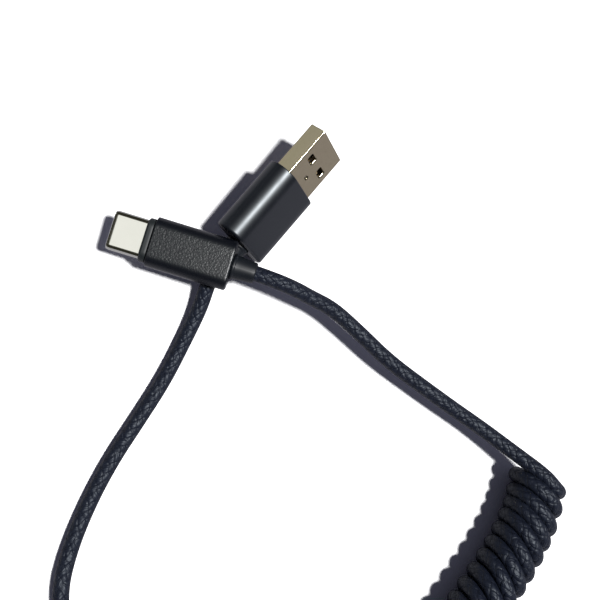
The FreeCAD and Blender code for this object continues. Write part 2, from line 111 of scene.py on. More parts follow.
def makeRoom(values):
    # What shines and fills: soft lights in a dark room for gloss, a dim fill, and a white backdrop.
    world = bpy.data.worlds.new("room")
    bpy.context.scene.world = world
    world.use_nodes = True
    tree = world.node_tree
    place = makeNode(tree, "ShaderNodeTexCoord")
    studio = values["dark"]
    for glow in values["glows"]:
        near = makeNode(tree, "ShaderNodeVectorMath", {"operation": "DOT_PRODUCT"},
                        {0: place.outputs["Generated"], 1: glow["toward"]})
        low, high = glow["edge"]
        fade = makeNode(tree, "ShaderNodeMapRange", {"interpolation_type": "SMOOTHSTEP"},
                        {"Value": near.outputs["Value"], "From Min": low, "From Max": high})
        mixed = makeNode(tree, "ShaderNodeMixRGB", {"blend_type": "LIGHTEN"}, {1: studio, 2: glow["color"]})
        tree.links.new(fade.outputs[0], mixed.inputs[0])
        studio = mixed.outputs[0]
    ray = makeNode(tree, "ShaderNodeLightPath")
    compass = makeNode(tree, "ShaderNodeSeparateXYZ", inputs={0: place.outputs["Generated"]})
    east = makeNode(tree, "ShaderNodeMapRange", inputs={"Value": compass.outputs["X"], "From Min": -1.0})
    fill = makeNode(tree, "ShaderNodeMixRGB",
                    inputs={0: east.outputs[0], 1: values["fillWest"], 2: values["fillEast"]})
    lit = makeNode(tree, "ShaderNodeMixRGB",
                   inputs={0: ray.outputs["Is Glossy Ray"], 1: fill.outputs[0], 2: studio})
    seen = makeNode(tree, "ShaderNodeMixRGB",
                    inputs={0: ray.outputs["Is Camera Ray"], 1: lit.outputs[0], 2: values["backdrop"]})
    tree.links.new(seen.outputs[0], tree.nodes["Background"].inputs["Color"])


def makeFloor(values):
    reach = values["floorReach"]
    mesh = bpy.data.meshes.new("floor")
    corners = [(-reach, -reach, 0), (reach, -reach, 0), (reach, reach, 0), (-reach, reach, 0)]
    mesh.from_pydata(corners, [], [(0, 1, 2, 3)])
    floor = bpy.data.objects.new("floor", mesh)
    bpy.context.scene.collection.objects.link(floor)
    material = bpy.data.materials.new("floorWhite")
    material.use_nodes = True
    tree = material.node_tree
    shader = tree.nodes["Principled BSDF"]
    ray = makeNode(tree, "ShaderNodeLightPath")
    tone = makeNode(tree, "ShaderNodeMixRGB", inputs={
        0: ray.outputs["Is Glossy Ray"], 1: values["floorColor"], 2: values["floorInGloss"]})
    tree.links.new(tone.outputs[0], shader.inputs["Base Color"])
    shader.inputs["Roughness"].default_value = values["floorRoughness"]
    shader.inputs["Specular IOR Level"].default_value = 0.0
    mesh.materials.append(material)


makeCamera(view)
makeKey(view)
makeRoom(view)
makeFloor(view)
bpy.context.scene.view_settings.view_transform = "Standard"
say("camera, lights and floor")


# Cord. Its tails pass near the solids' routes, moved a few millimetres to follow the photographed line.

cord = {
    "diameter": 0.0036,
    "coilDiameter": 0.0140,
    "pointsPerTurn": 14,
    "lean": 0.42,
    "around": 24,
    "ringGap": 0.00027,
    "axisDetail": 40,
    "axisStep": 0.0002,
    "pathDetail": 8,
    "deviceTail": (
        (0.005743, -0.015687, 0.013015), (0.0108, -0.0174, 0.0137), (0.0156, -0.0191, 0.0128),
        (0.0192, -0.0206, 0.0115), (0.0249, -0.0229, 0.0102), (0.0313, -0.0280, 0.0092),
        (0.0391, -0.0349, 0.0084), (0.0476, -0.0408, 0.0083), (0.0555, -0.0461, 0.0080),
        (0.0630, -0.0509, 0.0078), (0.0701, -0.0563, 0.0090), (0.0767, -0.0618, 0.0120)),
    "hostTail": (
        (-0.000302, -0.011948, 0.006603), (-0.002178, -0.014248, 0.006170), (-0.0038, -0.0172, 0.0056),
        (-0.0053, -0.0227, 0.0036), (-0.0082, -0.0291, 0.0020), (-0.0131, -0.0394, 0.0021),
        (-0.0187, -0.0485, 0.0019), (-0.0242, -0.0572, 0.0019), (-0.0289, -0.0665, 0.0019),
        (-0.0326, -0.0763, 0.0025), (-0.0345, -0.0856, 0.0036), (-0.0325, -0.0951, 0.0043),
        (-0.0264, -0.1048, 0.0030), (-0.0158, -0.1108, 0.0020), (-0.0031, -0.1138, 0.0018),
        (0.0089, -0.1194, 0.0018), (0.0165, -0.1247, 0.0018), (0.0215, -0.1285, 0.0018)),
    "coilAxis": (
        (0.0779, -0.0600), (0.0769, -0.0675), (0.0715, -0.0782), (0.0620, -0.0905), (0.0454, -0.1096),
        (0.0239, -0.1326)),
    "turnPlaces": ((0.0035, -0.1667), (0.0030, 0.0), (0.0075, 1.0), (0.0115, 2.0), (0.0149, 3.0),
                   (0.0187, 4.0), (0.0228, 5.0), (0.0266, 6.0), (0.0890, 21.25)),
}


def splineLine(points, resolution):
    # Points along a NURBS spline of order 3 that ends at its first and last control points.
    data = bpy.data.curves.new("route", "CURVE")
    data.dimensions = "3D"
    data.resolution_u = resolution
    spline = data.splines.new("NURBS")
    spline.points.add(len(points) - 1)
    weighted = np.ones((len(points), 4))
    weighted[:, :3] = points
    spline.points.foreach_set("co", weighted.ravel())
    spline.order_u = 3
    spline.use_endpoint_u = True
    route = bpy.data.objects.new("route", data)
    bpy.context.scene.collection.objects.link(route)
    mesh = bpy.data.meshes.new_from_object(route.evaluated_get(bpy.context.evaluated_depsgraph_get()))
    line = np.empty(len(mesh.vertices) * 3)
    mesh.vertices.foreach_get("co", line)
    bpy.data.objects.remove(route)
    bpy.data.curves.remove(data)
    bpy.data.meshes.remove(mesh)
    return line.reshape(-1, 3)


def lengthAlong(line):
    steps = np.linalg.norm(np.diff(line, axis=0), axis=1)
    return np.concatenate([[0.0], np.cumsum(steps)])


def pointsAt(line, places):
    along = lengthAlong(line)
    return np.stack([np.interp(places, along, line[:, k]) for k in range(3)], axis=1)


def helixPoints(values):
    # Control points of the coil: circles round its axis, each leaning along the axis as it crosses.
    height = values["coilDiameter"] / 2
    axis = splineLine([(x, y, height) for x, y in values["coilAxis"]], values["axisDetail"])
    places, turns = np.array(values["turnPlaces"]).T
    perTurn = values["pointsPerTurn"]
    count = round((turns[-1] - turns[0]) * perTurn) + 1
    turn = np.linspace(turns[0], turns[-1], count)
    place = np.interp(turn, turns, places)
    middle = pointsAt(axis, place)
    ahead = pointsAt(axis, place + values["axisStep"]) - pointsAt(axis, place - values["axisStep"])
    ahead /= np.linalg.norm(ahead, axis=1)[:, None]
    side = np.stack([-ahead[:, 1], ahead[:, 0], np.zeros(count)], axis=1)
    side += values["lean"] * ahead
    radius = (values["coilDiameter"] - values["diameter"]) / 2 / math.cos(math.pi / perTurn)
    angle = -2 * math.pi * turn
    up = np.array([0.0, 0.0, 1.0])
    return middle + radius * (np.cos(angle)[:, None] * side + np.sin(angle)[:, None] * up)


def tubeFrames(line):
    # Tangents, and two directions across the line that turn as little as they can along it.
    ahead = np.gradient(line, axis=0)
    ahead /= np.linalg.norm(ahead, axis=1)[:, None]
    side = np.empty_like(line)
    current = np.cross(ahead[0], (0.0, 0.0, 1.0))
    for k in range(len(line)):
        current = current - ahead[k] * current.dot(ahead[k])
        current /= np.linalg.norm(current)
        side[k] = current
    return ahead, side, np.cross(ahead, side)


def linkPiece(name, mesh, material):
    mesh.materials.append(material)
    thing = bpy.data.objects.new(name, mesh)
    bpy.context.scene.collection.objects.link(thing)
    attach(thing, "root")
    return thing


def gridMesh(name, grid, uv, closed, keep=None):
    # Mesh of a grid of points, smooth shaded. uv holds a pair for each corner of each face.
    rows, columns = grid.shape[:2]
    mesh = bpy.data.meshes.new(name)
    index = np.arange(rows * columns).reshape(rows, columns)
    right = np.roll(index, -1, axis=1) if closed else index[:, 1:]
    left = index if closed else index[:, :-1]
    faces = np.stack([left[:-1], right[:-1], right[1:], left[1:]], axis=-1)
    if keep is not None:
        faces = faces[keep]
        uv = uv[keep]
    mesh.from_pydata(grid.reshape(-1, 3), [], faces.reshape(-1, 4))
    layer = mesh.uv_layers.new(name="along")
    layer.data.foreach_set("uv", uv.astype(np.float32).ravel())
    mesh.shade_smooth()
    return mesh


def gridUv(down, across):
    # The pair (across, down) at the four corners of each face, in gridMesh's order.
    low = np.stack(np.meshgrid(across[:-1], down[:-1]), axis=-1)
    high = np.stack(np.meshgrid(across[1:], down[1:]), axis=-1)
    lowHigh = np.stack([high[..., 0], low[..., 1]], axis=-1)
    highLow = np.stack([low[..., 0], high[..., 1]], axis=-1)
    return np.stack([low, lowHigh, high, highLow], axis=2)


# Materials

weave = {
    "strands": 5.0,
    "cell": 2.3,
    "stray": 0.9,
    "strayScale": 420.0,
    "dark": (0.0030, 0.0042, 0.0092, 1.0),
    "light": (0.0055, 0.0072, 0.0138, 1.0),
    "height": 0.00020,
    "fibres": 4.0,
    "fibreHeight": 0.07,
    "wideFall": (2.5, 0.75),
    "archFall": (2.0, 0.5),
    "unevenScale": 900.0,
    "unevenHeight": 0.8,
    "unevenTone": 0.5,
    # Painted shade: these set how the strand height darkens the dips between strands and lightens the
    # crests.
    "paintedShadeFrom": -0.1,
    "paintedShadeTone": 0.8,
    "toneDrop": 0.25,
    "roughness": 0.48,
    "specular": 0.22,
    "tint": (0.86, 0.93, 1.0, 1.0),
}


def mathNode(tree, operation, a, b=None, c=None):
    inputs = {0: a}
    if b is not None:
        inputs[1] = b
    if c is not None:
        inputs[2] = c
    return makeNode(tree, "ShaderNodeMath", {"operation": operation}, inputs).outputs[0]


def newMaterial(name, roughness, metallic=0.0):
    material = bpy.data.materials.new(name)
    material.use_nodes = True
    shader = material.node_tree.nodes["Principled BSDF"]
    shader.inputs["Roughness"].default_value = roughness
    shader.inputs["Metallic"].default_value = metallic
    return material, material.node_tree, shader


def weaveMaterial(name, values):
    # Two sets of strands cross over and under. u goes round the cord once, v is millimetres along it.
    material, tree, shader = newMaterial(name, values["roughness"])
    coords = makeNode(tree, "ShaderNodeUVMap", {"uv_map": "along"})
    split = makeNode(tree, "ShaderNodeSeparateXYZ", inputs={0: coords.outputs[0]})
    around = mathNode(tree, "MULTIPLY", split.outputs["X"], values["strands"])
    along = mathNode(tree, "DIVIDE", split.outputs["Y"], values["cell"])
    place = makeNode(tree, "ShaderNodeTexCoord")
    drift = makeNode(tree, "ShaderNodeTexNoise", inputs={
        "Vector": place.outputs["Object"], "Scale": values["strayScale"], "Detail": 1.0})
    aside = makeNode(tree, "ShaderNodeSeparateColor", inputs={0: drift.outputs["Color"]})
    around = mathNode(tree, "MULTIPLY_ADD", aside.outputs[0], values["stray"], around)
    along = mathNode(tree, "MULTIPLY_ADD", aside.outputs[1], values["stray"], along)
    first = mathNode(tree, "ADD", around, along)
    second = mathNode(tree, "SUBTRACT", around, along)
    across = []
    for strand in (first, second):
        part = mathNode(tree, "FRACT", strand)
        across.append(mathNode(tree, "MULTIPLY_ADD", part, 2.0, -1.0))
    cells = mathNode(tree, "ADD", mathNode(tree, "FLOOR", first), mathNode(tree, "FLOOR", second))
    parity = mathNode(tree, "FLOORED_MODULO", cells, 2.0)
    isSecond = mathNode(tree, "GREATER_THAN", parity, 0.5)
    wide = makeNode(tree, "ShaderNodeMix", {"data_type": "FLOAT"},
                    {0: isSecond, 2: across[0], 3: across[1]}).outputs[0]
    arch = makeNode(tree, "ShaderNodeMix", {"data_type": "FLOAT"},
                    {0: isSecond, 2: across[1], 3: across[0]}).outputs[0]
    ridge = 1.0
    for part, (power, depth) in ((wide, values["wideFall"]), (arch, values["archFall"])):
        drop = mathNode(tree, "POWER", mathNode(tree, "ABSOLUTE", part), power)
        ridge = mathNode(tree, "MULTIPLY_ADD", drop, -depth, ridge)
    fibre = mathNode(tree, "SINE", mathNode(tree, "MULTIPLY", wide, values["fibres"] * math.pi))
    uneven = makeNode(tree, "ShaderNodeTexNoise", inputs={
        "Vector": place.outputs["Object"], "Scale": values["unevenScale"], "Detail": 3.0})
    height = mathNode(tree, "MULTIPLY_ADD", fibre, values["fibreHeight"], ridge)
    height = mathNode(tree, "MULTIPLY_ADD", uneven.outputs[0], values["unevenHeight"], height)
    bump = makeNode(tree, "ShaderNodeBump", inputs={
        "Strength": 1.0, "Distance": values["height"], "Height": height})
    tree.links.new(bump.outputs[0], shader.inputs["Normal"])
    # Painted shade: the colour follows the strand height, dark in the dips between strands where shade falls
    # and lighter on the crests, with a random tone added.
    tint = makeNode(tree, "ShaderNodeMapRange", inputs={
        "Value": ridge, "From Min": values["paintedShadeFrom"], "To Max": values["paintedShadeTone"]})
    lowered = mathNode(tree, "SUBTRACT", tint.outputs[0], values["toneDrop"])
    tint = mathNode(tree, "MULTIPLY_ADD", uneven.outputs[0], values["unevenTone"], lowered)
    colour = makeNode(tree, "ShaderNodeMixRGB", {"use_clamp": True},
                      {0: tint, 1: values["dark"], 2: values["light"]})
    tree.links.new(colour.outputs[0], shader.inputs["Base Color"])
    shader.inputs["Specular IOR Level"].default_value = values["specular"]
    shader.inputs["Specular Tint"].default_value = values["tint"]
    return material


surface = {
    "blotch": 300.0,
    "uneven": 0.05,
    "specular": 0.5,
    "tint": (1.0, 1.0, 1.0, 1.0),
    "grain": 9000.0,
    "grainStrength": 0.15,
    "wear": 700.0,
    "wearUneven": 0.25,
    "wearStrength": 0.08,
    "depth": 0.00002,
}


def satinMaterial(name, values):
    # Moulded plastic: two close tones, slightly uneven gloss and a fine skin.
    values = {**surface, **values}
    material, tree, shader = newMaterial(name, values["roughness"])
    place = makeNode(tree, "ShaderNodeTexCoord")
    blotch = makeNode(tree, "ShaderNodeTexNoise", inputs={
        "Vector": place.outputs["Object"], "Scale": values["blotch"], "Detail": 4.0})
    colour = makeNode(tree, "ShaderNodeMixRGB",
                      inputs={0: blotch.outputs[0], 1: values["dark"], 2: values["light"]})
    tree.links.new(colour.outputs[0], shader.inputs["Base Color"])
    gloss = makeNode(tree, "ShaderNodeMapRange", inputs={
        "Value": blotch.outputs[0], "To Min": values["roughness"] - values["uneven"],
        "To Max": values["roughness"] + values["uneven"]})
    tree.links.new(gloss.outputs[0], shader.inputs["Roughness"])
    shader.inputs["Specular IOR Level"].default_value = values["specular"]
    shader.inputs["Specular Tint"].default_value = values["tint"]
    skin = makeNode(tree, "ShaderNodeTexNoise", inputs={
        "Vector": place.outputs["Object"], "Scale": values["grain"], "Detail": 2.0})
    bump = makeNode(tree, "ShaderNodeBump", inputs={
        "Strength": values["grainStrength"], "Distance": values["depth"], "Height": skin.outputs[0]})
    tree.links.new(bump.outputs[0], shader.inputs["Normal"])
    return material


def metalMaterial(name, values):
    # Plated metal with fine wear: two close tones, a faint unevenness and small changes of gloss.
    values = {**surface, **values}
    material, tree, shader = newMaterial(name, values["roughness"], 1.0)
    place = makeNode(tree, "ShaderNodeTexCoord")
    wear = makeNode(tree, "ShaderNodeTexNoise", inputs={
        "Vector": place.outputs["Object"], "Scale": values["wear"], "Detail": 6.0})
    colour = makeNode(tree, "ShaderNodeMixRGB",
                      inputs={0: wear.outputs[0], 1: values["dark"], 2: values["light"]})
    if "edge" in values:
        # The attribute "flat" marks broad faces; the rounded sides get the darker, olive "edge" colour, a
        # painted reflection of the dark room.
        flat = makeNode(tree, "ShaderNodeAttribute", {"attribute_name": "flat"})
        colour = makeNode(tree, "ShaderNodeMixRGB",
                          inputs={0: flat.outputs["Fac"], 1: values["edge"], 2: colour.outputs[0]})
    tree.links.new(colour.outputs[0], shader.inputs["Base Color"])
    gloss = makeNode(tree, "ShaderNodeMapRange", inputs={
        "Value": wear.outputs[0], "To Min": values["roughness"] * (1 - values["wearUneven"]),
        "To Max": values["roughness"] * (1 + values["wearUneven"])})
    tree.links.new(gloss.outputs[0], shader.inputs["Roughness"])
    bump = makeNode(tree, "ShaderNodeBump", inputs={
        "Strength": values["wearStrength"], "Distance": values["depth"], "Height": wear.outputs[0]})
    tree.links.new(bump.outputs[0], shader.inputs["Normal"])
    return material


pebble = {
    "dark": (0.0012, 0.0018, 0.0038, 1.0),
    "light": (0.0060, 0.0090, 0.0095, 1.0),
    "roughness": 0.36,
    "specular": 0.36,
    "grain": 2100.0,
    "finer": 2.2,
    # Painted sparkle: how the grain height lightens the flat faces' raised grains.
    "paintedSparkleRange": (-0.3, 0.6),
    "height": 0.000034,
}


def pebbledMaterial(name, values):
    # Satin plastic whose flat faces, marked by the attribute "flat", have a coarse grain of real bumps; the
    # raised grains also get a lighter, greener colour, a painted sparkle, so the flat faces are lighter than
    # the sides.
    material, tree, shader = newMaterial(name, values["roughness"])
    place = makeNode(tree, "ShaderNodeTexCoord")
    flat = makeNode(tree, "ShaderNodeAttribute", {"attribute_name": "flat"})
    stones = makeNode(tree, "ShaderNodeTexVoronoi", inputs={
        "Vector": place.outputs["Object"], "Scale": values["grain"]})
    fine = makeNode(tree, "ShaderNodeTexNoise", inputs={
        "Vector": place.outputs["Object"], "Scale": values["grain"] * values["finer"], "Detail": 2.0})
    grain = mathNode(tree, "SUBTRACT", fine.outputs[0], stones.outputs["Distance"])
    height = mathNode(tree, "MULTIPLY", grain, flat.outputs["Fac"])
    bump = makeNode(tree, "ShaderNodeBump", inputs={
        "Strength": 1.0, "Distance": values["height"], "Height": height})
    tree.links.new(bump.outputs[0], shader.inputs["Normal"])
    # Painted sparkle: the raised grains of the flat faces get the lighter colour, while the sides keep the
    # dark one.
    low, high = values["paintedSparkleRange"]
    tint = makeNode(tree, "ShaderNodeMapRange", inputs={"Value": grain, "From Min": low, "From Max": high})
    tint = mathNode(tree, "MULTIPLY", tint.outputs[0], flat.outputs["Fac"])
    colour = makeNode(tree, "ShaderNodeMixRGB", {"use_clamp": True},
                      {0: tint, 1: values["dark"], 2: values["light"]})
    tree.links.new(colour.outputs[0], shader.inputs["Base Color"])
    shader.inputs["Specular IOR Level"].default_value = values["specular"]
    return material


plastics = {
    "hostCover": {"dark": (0.0012, 0.0018, 0.0038, 1), "light": (0.0020, 0.0027, 0.0050, 1),
                  "roughness": 0.40, "grainStrength": 0.10, "tint": (0.90, 0.96, 1.0, 1.0)},
    "bezel": {"dark": (0.004, 0.006, 0.007, 1), "light": (0.008, 0.010, 0.011, 1), "roughness": 0.50,
              "specular": 0.3},
    "relief": {"dark": (0.0020, 0.0030, 0.0050, 1), "light": (0.0045, 0.0060, 0.0085, 1), "roughness": 0.47,
               "specular": 0.25},
    # The tongue's tan colour is painted light: it stands in for the brownish light seen through the shell's
    # windows, not for the tongue's own colour.
    "tongue": {"dark": (0.150, 0.115, 0.070, 1), "light": (0.200, 0.155, 0.095, 1), "roughness": 0.45},
    "insulator": {"dark": (0.012, 0.012, 0.013, 1), "light": (0.022, 0.022, 0.024, 1), "roughness": 0.40},
    "mould": {"dark": (0.030, 0.030, 0.034, 1), "light": (0.055, 0.055, 0.060, 1), "roughness": 0.60},
    "board": {"dark": (0.010, 0.080, 0.040, 1), "light": (0.020, 0.130, 0.060, 1), "roughness": 0.30},
    "chip": {"dark": (0.015, 0.015, 0.015, 1), "light": (0.040, 0.040, 0.042, 1), "roughness": 0.45},
    "wireRed": {"dark": (0.40, 0.015, 0.015, 1), "light": (0.55, 0.030, 0.025, 1), "roughness": 0.45},
    "wireBlack": {"dark": (0.012, 0.012, 0.012, 1), "light": (0.025, 0.025, 0.025, 1), "roughness": 0.45},
    "wireGreen": {"dark": (0.02, 0.24, 0.05, 1), "light": (0.03, 0.34, 0.08, 1), "roughness": 0.45},
    "wireWhite": {"dark": (0.70, 0.70, 0.68, 1), "light": (0.82, 0.82, 0.80, 1), "roughness": 0.45},
}
metals = {
    "nickel": {"dark": (0.308, 0.264, 0.180, 1), "light": (0.368, 0.320, 0.224, 1), "roughness": 0.15},
    # The bright shell's "edge" colour darkens its rounded sides: a painted dark reflection.
    "bright": {"dark": (0.84, 0.84, 0.82, 1), "light": (0.92, 0.92, 0.90, 1), "edge": (0.50, 0.50, 0.45, 1),
               "roughness": 0.13},
    "gold": {"dark": (0.78, 0.56, 0.22, 1), "light": (0.88, 0.68, 0.32, 1), "roughness": 0.22},
    "can": {"dark": (0.50, 0.50, 0.48, 1), "light": (0.64, 0.64, 0.62, 1), "roughness": 0.38},
    "latch": {"dark": (0.60, 0.60, 0.58, 1), "light": (0.74, 0.74, 0.72, 1), "roughness": 0.25},
}
made = {name: satinMaterial(name, values) for name, values in plastics.items()}
made.update({name: metalMaterial(name, values) for name, values in metals.items()})
made["weave"] = weaveMaterial("weave", weave)
made["deviceCover"] = pebbledMaterial("deviceCover", pebble)
say("materials")


def makeCord(values):
    control = np.concatenate([values["deviceTail"], helixPoints(values), values["hostTail"][::-1]])
    path = splineLine(control, values["pathDetail"])
    total = lengthAlong(path)[-1]
    rings = round(total / values["ringGap"])
    line = pointsAt(path, np.linspace(0, total, rings))
    line[:, 2] = np.maximum(line[:, 2], values["diameter"] / 2)
    side, up = tubeFrames(line)[1:]
    angle = np.linspace(0, 2 * math.pi, values["around"], endpoint=False)
    ring = np.cos(angle)[None, :, None] * side[:, None, :] + np.sin(angle)[None, :, None] * up[:, None, :]
    grid = line[:, None, :] + values["diameter"] / 2 * ring
    uv = gridUv(np.linspace(0, total, rings) / mm, np.linspace(0, 1, values["around"] + 1))
    tube = linkPiece("cordWeave", gridMesh("cordWeave", grid, uv, True), made["weave"])
    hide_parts("cord_device_tail", "cord_coil", "cord_host_tail")
    print("cord length", round(total, 4), "rings", rings)


makeCord(cord)
say("cord")


# Plugs. A piece is made in its plug's own axes, in millimetres, and then set where the solids lie.

hostPlug = {
    "rear": (2.950, -7.960, 7.354), "heading": 50.8, "pitch": 8.3, "roll": 53.3,
    "length": 19.3, "width": 16.9, "height": 8.3, "corner": 4.15, "rearRound": 0.7, "frontRound": 0.25,
    "wall": 1.0, "recess": 0.4, "neck": 4.4,
    "shellWidth": 12.0, "shellHeight": 4.5, "shellWall": 0.3, "shellBack": 14.3, "shellTip": 32.2,
    "shellCorner": 0.26, "tipRound": 0.10, "window": (24.95, 26.75, 1.75, 3.85), "windowCorner": 0.4,
    "windowBend": 0.30, "windowReach": 0.32, "dimple": 22.2, "dimpleRadius": 0.62, "dimpleDepth": 0.34,
    "seamWidth": 0.12, "seamDepth": 0.12, "fineFrom": 19.0, "fineGap": 0.125, "dimpleMargin": 0.8,
    "windowMargin": 1.0, "uvRound": 33.0,
}
devicePlug = {
    "rear": (0.802, -14.214, 12.336), "heading": 163.4, "pitch": -7.5, "roll": -8.3,
    "length": 18.75, "width": 11.6, "height": 6.4, "corner": 2.8, "rearRound": 0.6, "frontRound": 0.2,
    "wall": 0.9, "recess": 1.6, "neck": 4.4,
    "bezelBack": 19.0, "bezelFront": 20.6, "bezelWidth": 10.2, "bezelHeight": 5.4, "bezelCorner": 2.3,
    "bezelRear": ((-1.8, 0.75), (-0.25, 0.75), (0.0, 0.70), (0.0, 0.12), (0.03, 0.03), (0.1, 0.0),
                  (0.6, 0.0)),
    "bezelMouth": ((0.0, 0.9), (0.0, 1.2), (0.0, 1.42), (-0.08, 1.49), (-1.5, 1.49)),
    "bezelRound": 0.6, "shellWidth": 9.15, "shellHeight": 2.6, "shellWall": 0.35, "shellBack": 16.2,
    "shellTip": 28.25, "tipRound": 1.05,
}
relief = {
    "profile": ((0.8, 2.2), (0.02, 2.2), (-0.02, 2.78), (-0.08, 2.92), (-0.25, 3.0), (-0.50, 3.0),
                (-0.72, 2.92), (-0.80, 2.80), (-0.95, 2.76), (-2.0, 2.68), (-3.2, 2.58), (-4.4, 2.47),
                (-5.1, 2.40), (-5.35, 2.34), (-5.5, 2.22), (-5.56, 2.05), (-5.58, 1.9), (-5.5, 1.78),
                (-4.6, 1.74)),
    "round": 48,
}
skin = {"hold": 0.06, "lip": 0.04, "mouthEdge": 0.05, "coverRows": 12, "flatFrom": 0.93, "flatOver": 0.065}


def plugMatrix(plug):
    turn = Matrix.Rotation(math.radians(plug["heading"]), 3, "Z")
    turn = turn @ Matrix.Rotation(math.radians(-plug["pitch"]), 3, "Y")
    turn = turn @ Matrix.Rotation(math.radians(plug["roll"]), 3, "X")
    return np.array(turn)


def setDown(grid, plug):
    # Points in a plug's own millimetres, to the table's metres.
    return (grid @ plugMatrix(plug).T + np.array(plug["rear"])) * mm


def loopPoints(width, height, corner, perCorner, gap):
    # Rounded rectangle across a plug, from the middle of its top, and how flat-faced each point is.
    corner = min(corner, width / 2, height / 2)
    points = []
    flat = []
    corners = ((1, 1, 90), (1, -1, 0), (-1, -1, -90), (-1, 1, -180))
    for sideY, sideZ, start in corners:
        middle = np.array([sideY * (width / 2 - corner), sideZ * (height / 2 - corner)])
        for step in np.linspace(0, 1, perCorner):
            angle = math.radians(start - 90 * step)
            points.append(middle + corner * np.array([math.cos(angle), math.sin(angle)]))
            flat.append(abs(math.sin(angle)))
    filled = []
    fillFlat = []
    for k in range(len(points)):
        after = (k + 1) % len(points)
        reach = np.linalg.norm(points[after] - points[k])
        pieces = max(1, round(reach / gap))
        for step in range(pieces):
            share = step / pieces
            filled.append(points[k] * (1 - share) + points[after] * share)
            fillFlat.append(flat[k] * (1 - share) + flat[after] * share)
    return np.array(filled), np.array(fillFlat)


def sleeveGrid(stations, width, height, corner, perCorner, gap):
    # Rows of a sleeve. A station is (x, inset, circle): the outline moved in by the inset, or, where
    # circle isn't None, a circle of that radius.
    rows = []
    outline, flat = loopPoints(width, height, corner, perCorner, gap)
    middle = outline / np.linalg.norm(outline, axis=1)[:, None]
    shrink = np.sign(outline) * np.maximum(np.abs(outline) - (np.array([width, height]) / 2 - corner), 0)
    shrink /= np.maximum(np.linalg.norm(shrink, axis=1)[:, None], 1e-9)
    for x, inset, circle in stations:
        ring = outline - inset * shrink if circle is None else circle * middle
        rows.append(np.concatenate([np.full((len(ring), 1), x), ring], axis=1))
    return np.array(rows), flat


def roundStations(x, radius, facing, steps=9):
    # Stations round an end's edge, from the end face to the side (facing 1) or back again (-1).
    stations = []
    for step in np.linspace(0, 1, steps):
        angle = math.pi / 2 * (1 - step if facing > 0 else step)
        stations.append((x + facing * radius * (1 - math.sin(angle)), radius * (1 - math.cos(angle)), None))
    held = (x + facing * (radius + skin["hold"]), 0.0, None)
    return stations + [held] if facing > 0 else [held] + stations


def sleeve(name, plug, stations, size, detail, material):
    # A closed skin round a plug's axis. The attribute "flat" marks its broad faces.
    grid, flat = sleeveGrid(stations, *size, *detail)
    rows = len(grid)
    step = np.linalg.norm(np.roll(grid[-1], -1, axis=0) - grid[-1], axis=1)
    down = np.array([station[0] for station in stations])
    uv = gridUv(down, np.concatenate([[0.0], np.cumsum(step)]))
    mesh = gridMesh(name, setDown(grid, plug), uv, True)
    mark = mesh.attributes.new("flat", "FLOAT", "POINT")
    broad = np.clip((flat - skin["flatFrom"]) / skin["flatOver"], 0, 1)
    mark.data.foreach_set("value", np.tile(broad, rows).astype(np.float32))
    if outwardShare(mesh, plug) < 0.5:
        mesh.flip_normals()
    return linkPiece(name, mesh, material)


def makeCover(name, plug, material, node):
    # Sleeve with rounded ends, from the hole in its back to the inner wall behind its front edge.
    length = plug["length"]
    hole = plug["neck"] / 2
    wall = plug["wall"]
    lip = skin["lip"]
    stations = [(wall, None, hole), (lip, None, hole), (0.0, None, hole + lip)]
    stations += roundStations(0.0, plug["rearRound"], 1)
    middle = np.linspace(plug["rearRound"] + 0.5, length - 1.0, skin["coverRows"])
    stations += [(x, 0.0, None) for x in middle]
    stations += roundStations(length, plug["frontRound"], -1, 6)
    edge = skin["mouthEdge"]
    stations += [(length, wall - edge, None), (length - edge, wall, None)]
    stations += [(length - plug["recess"], wall, None)]
    size = (plug["width"], plug["height"], plug["corner"])
    cover = sleeve(name, plug, stations, size, (14, 0.5), material)
    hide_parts(node)


def makeBezel(plug):
    # Front frame of the device plug, with a rounded front edge and a hole for the shell.
    back = plug["bezelBack"]
    front = plug["bezelFront"]
    size = (plug["bezelWidth"], plug["bezelHeight"], plug["bezelCorner"])
    stations = [(back + x, inset, None) for x, inset in plug["bezelRear"]]
    stations += roundStations(front, plug["bezelRound"], -1, 9)
    stations += [(front + x, inset, None) for x, inset in plug["bezelMouth"]]
    bezel = sleeve("deviceBezelFrame", plug, stations, size, (14, 0.4), made["bezel"])
    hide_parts("device_bezel")


def makeDeviceShell(plug):
    # Seamless oval tube with a rounded tip, outside and inside.
    tip = plug["shellTip"]
    wall = plug["shellWall"]
    size = (plug["shellWidth"], plug["shellHeight"], plug["shellHeight"] / 2)
    stations = [(x, 0.0, None) for x in spans((plug["shellBack"], tip - plug["tipRound"] - 0.1), 0.6)]
    for x, inset, circle in roundStations(tip, plug["tipRound"], -1, 16):
        stations.append((x, inset / plug["tipRound"] * (wall - skin["mouthEdge"]), circle))
    stations += [(tip, wall - 0.03, None), (tip - 0.02, wall, None), (tip - 0.1, wall, None)]
    stations += [(x, wall, None) for x in spans((plug["shellBack"], tip - 0.4), 2.0)[::-1]]
    shell = sleeve("deviceShellTube", plug, stations, size, (22, 0.4), made["bright"])
    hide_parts("device_shell")


def makeRelief(name, plug, node):
    # Turned collar on the cord, with a bead against the cover.
    stations = [(x, None, radius) for x, radius in relief["profile"]]
    size = (2.0, 2.0, 1.0)
    collar = sleeve(name, plug, stations, size, (relief["round"] // 4, 1.0), made["relief"])
    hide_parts(node)


def spans(breaks, gap):
    # Values from the first break to the last, evenly set between neighbours and at most a gap apart.
    found = [breaks[0]]
    for low, high in zip(breaks, breaks[1:]):
        count = max(1, math.ceil((high - low) / gap - 1e-6))
        found += [low + (high - low) * step / count for step in range(1, count + 1)]
    return found


